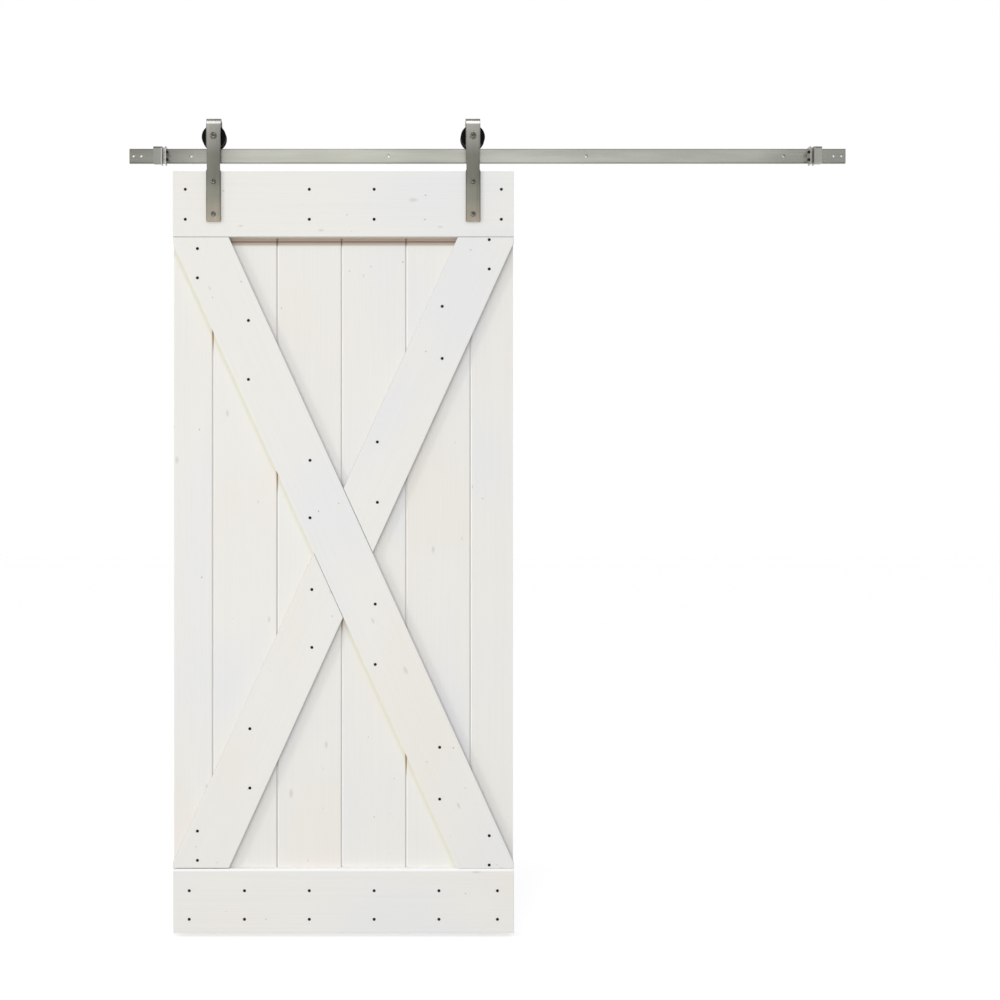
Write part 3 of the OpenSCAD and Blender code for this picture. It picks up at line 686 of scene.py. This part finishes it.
for side in ("left", "right"):
    strap_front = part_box(f"{side}_strap")[0].y
    axle = middle(f"{side}_wheel")

    for kind, bolt_d, pitch in (("axle", 10 * MM, 1.5 * MM), ("door", 8 * MM, 1.25 * MM)):
        many = "s" if kind == "door" else ""
        washer, nut, bolt = (f"{side}_{kind}_{part}{many}" for part in ("washer", "nut", "bolt"))
        w_low, w_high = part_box(washer)
        n_low, n_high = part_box(nut)
        b_low, b_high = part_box(bolt)
        outer_d, across = w_high.x - w_low.x, (n_high.x - n_low.x) * math.sqrt(3) / 2
        spots = [axle.z] if kind == "axle" else [w_high.z - outer_d / 2, w_low.z + outer_d / 2]
        at_washer, at_nut, at_head = ([Vector((axle.x, y, z)) for z in spots]
                                      for y in (w_low.y, n_low.y, strap_front))
        piece = plain_washer(f"{side}_{kind}_plain_washer", at_washer, outer_d,
                             w_high.y - w_low.y, bolt_d + WASHER_PLAY)
        stand_for(piece, washer, zinc)
        piece = hexagon_nut(f"{side}_{kind}_hexagon_nut", at_nut, across, n_high.y - n_low.y, bolt_d)
        stand_for(piece, nut, zinc)
        piece = button_bolt(f"{side}_{kind}_button_bolt", at_head, b_high.x - b_low.x,
                            strap_front - b_low.y, bolt_d - THREAD_PLAY, b_high.y - strap_front,
                            b_high.y - w_low.y + THREAD_PAST_WASHER, pitch)
        stand_for(piece, bolt, zinc)


# ---------------------------------------------------------------- bearings and bushes
# Each wheel turns on a shielded ball bearing, 30 mm outside and 10 mm in the
# bore. Two turned bushes on the axle bolt hold its inner ring midway between the
# strap's legs.

# Ground bearing steel: mirror-like and slightly cool, fine rings from grinding.
ground_steel = brushed_steel("ground_bearing_steel", "#D9DADB", "#C4C5C7", lean=90,
                             roughness=0.18, seed=9)
BEARING_R = 15 * MM
BUSH_BORE_R = 5.05 * MM

for side in ("left", "right"):
    for part in ("front_bush", "rear_bush"):
        node = f"{side}_{part}"
        low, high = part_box(node)
        outer, length = (high.x - low.x) / 2, high.y - low.y
        section = [(0, BUSH_BORE_R), (0, outer), (length, outer), (length, BUSH_BORE_R)]
        centre = (middle(node).x, low.y, middle(node).z)
        bush = turned(f"{side}_turned_{part}", rounded(section, 0.5 * MM, 3), [centre], facing=(0, 1, 0))
        stand_for(bush, node, ground_steel)
    for part in ("inner_ring", "outer_ring", "shields"):
        dress(f"{side}_bearing_{part}", ground_steel)
        break_edges(f"{side}_bearing_{part}", 0.12 * MM)
    dress(f"{side}_bearing_balls", ground_steel)


# ---------------------------------------------------------------- wheels
# Two grooved wheels moulded in black nylon, pressed on their bearings. The
# groove's flanges straddle the bar, and each face is dished inside a low ridge.

# Glass-filled nylon, moulded: near black with a faint satin bloom, in lumps of
# about 2 mm.
nylon = mottled("moulded_black_nylon", 0.45, "#030304", "#0A0A0B", 450.0, 4.0,
                relief=0.04 * MM, Specular_IOR_Level=0.08)
FLANGE_H = 3 * MM
GROOVE_HALF_W = 4 * MM
GROOVE_MOUTH_HALF_W = 5.2 * MM
DISH_HALF_W = 5.5 * MM
RIDGE_H = 0.6 * MM

for side in ("left", "right"):
    node = f"{side}_wheel"
    low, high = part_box(node)
    flange_r, half_w = (high.x - low.x) / 2, (high.y - low.y) / 2
    tread_r = flange_r - FLANGE_H
    inner_r, ridge_r = tread_r - 9 * MM, tread_r - 3.5 * MM
    outline = [(-GROOVE_HALF_W, tread_r), (GROOVE_HALF_W, tread_r), (GROOVE_MOUTH_HALF_W, flange_r),
               (half_w, flange_r), (half_w, ridge_r), (half_w - RIDGE_H, ridge_r - 0.8 * MM),
               (half_w - RIDGE_H, inner_r), (DISH_HALF_W, inner_r - 2 * MM), (DISH_HALF_W, BEARING_R)]
    outline += [(-along, r) for along, r in reversed(outline[2:])]
    wheel = turned(f"{side}_grooved_wheel", rounded(outline, 1.2 * MM), [middle(node)], sides=96)
    stand_for(wheel, node, nylon)


# ---------------------------------------------------------------- floor, light and camera
# The door hangs a finger's width over a plain white studio floor. A large soft
# box stands in front at the door's mid-height and a smaller one above, with a
# small warm light from the left. The white room is brighter at the left.

low, high = cad_bounds
centre = (low + high) / 2
bpy.ops.mesh.primitive_plane_add(size=400, location=(centre.x, centre.y, low.z - 10 * MM))
floor = bpy.context.object
floor.name = "studio_floor"
floor_paint, tree, shader = new_material("white_floor_paint", 1.0, Base_Color=linear("#F4F4F3"),
                                        Specular_IOR_Level=0.0, Emission_Color=(1, 1, 1, 1),
                                        Emission_Strength=0.3)
floor.data.materials.append(floor_paint)
floor.visible_diffuse = False

side_light = bpy.data.lights.new("small_side_light", "SUN")
side_light.energy = 0.42
side_light.angle = math.radians(5)
side_light.color = linear("#FFFAF0")[:3]
front_box = bpy.data.lights.new("front_soft_box", "AREA")
front_box.shape = "DISK"
front_box.size = 2.0
front_box.energy = 57
front_box.color = linear("#FFFBF4")[:3]
upper_box = bpy.data.lights.new("upper_soft_box", "AREA")
upper_box.shape = "DISK"
upper_box.size = 1.4
upper_box.energy = 16
for light, place in ((side_light, (-5.0, -3.0, 0.2)), (front_box, (-1.5, -5.0, -1.1)),
                     (upper_box, (-0.3, -2.6, 2.6))):
    lamp = bpy.data.objects.new(light.name, light)
    lamp.location = place
    lamp.rotation_euler = (centre - lamp.location).to_track_quat("-Z", "Y").to_euler()
    bpy.context.scene.collection.objects.link(lamp)

# The camera sees a plain white room. The door is lit by one that is dim low down
# and behind, brightest at head height and to the left, and has no hot spot above
world = bpy.data.worlds.new("white_room")
world.use_nodes = True
bpy.context.scene.world = world
tree = world.node_tree
tree.nodes.clear()
seen = add_node(tree, "Background", Color=(1, 1, 1, 1), Strength=1.0)
facing = add_node(tree, "SeparateXYZ", Vector=add_node(tree, "TexCoord").outputs["Generated"])
upward, backward, rightward = (
    add_node(tree, "MapRange", Value=facing.outputs[axis], From_Min=-1.0).outputs[0] for axis in "ZYX")
by_height = ramp(tree, upward, [(0.4, 0.72), (0.55, 0.9), (0.66, 1.2), (0.88, 1.15), (0.97, 0.25)])
by_depth = ramp(tree, backward, [(0.0, 0.42), (0.03, 0.5), (0.14, 0.72), (0.93, 0.72), (0.965, 1.45)])
by_side = ramp(tree, rightward, [(0.1, 1.35), (0.35, 1.0), (0.65, 1.0), (0.9, 0.75)])
room = "#FBFBFF"
for brightness in (by_height, by_side, by_depth):
    room = blend_colours(tree, 1.0, brightness, room, "MULTIPLY")
lit = add_node(tree, "Background", Color=room, Strength=1.15)
camera_ray = add_node(tree, "LightPath").outputs["Is Camera Ray"]
both = add_node(tree, "MixShader", in0=camera_ray, in1=lit.outputs[0], in2=seen.outputs[0])
tree.links.new(both.outputs[0], add_node(tree, "OutputWorld").inputs["Surface"])

# The camera stands square to the door, at the middle of its height, and is
# shifted so that the whole bar is in the frame
FRAME_W = 2800 * MM
DISTANCE = 3000 * MM
EYE_X = -300 * MM
VIEW_X = 34 * MM
VIEW_ABOVE_DOOR_MIDDLE = 146 * MM
door_middle = (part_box("board_1")[0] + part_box("board_6")[1]) / 2
camera = bpy.data.cameras.new("camera")
camera.lens = camera.sensor_width * DISTANCE / FRAME_W
camera.shift_x = (VIEW_X - EYE_X) / FRAME_W
camera.shift_y = VIEW_ABOVE_DOOR_MIDDLE / FRAME_W
viewer = bpy.data.objects.new("camera", camera)
viewer.location = (EYE_X, front_of_frame - DISTANCE, door_middle.z)
viewer.rotation_euler = Euler((math.radians(90), 0, 0))
bpy.context.scene.collection.objects.link(viewer)
bpy.context.scene.camera = viewer
bpy.context.scene.view_settings.view_transform = "Standard"
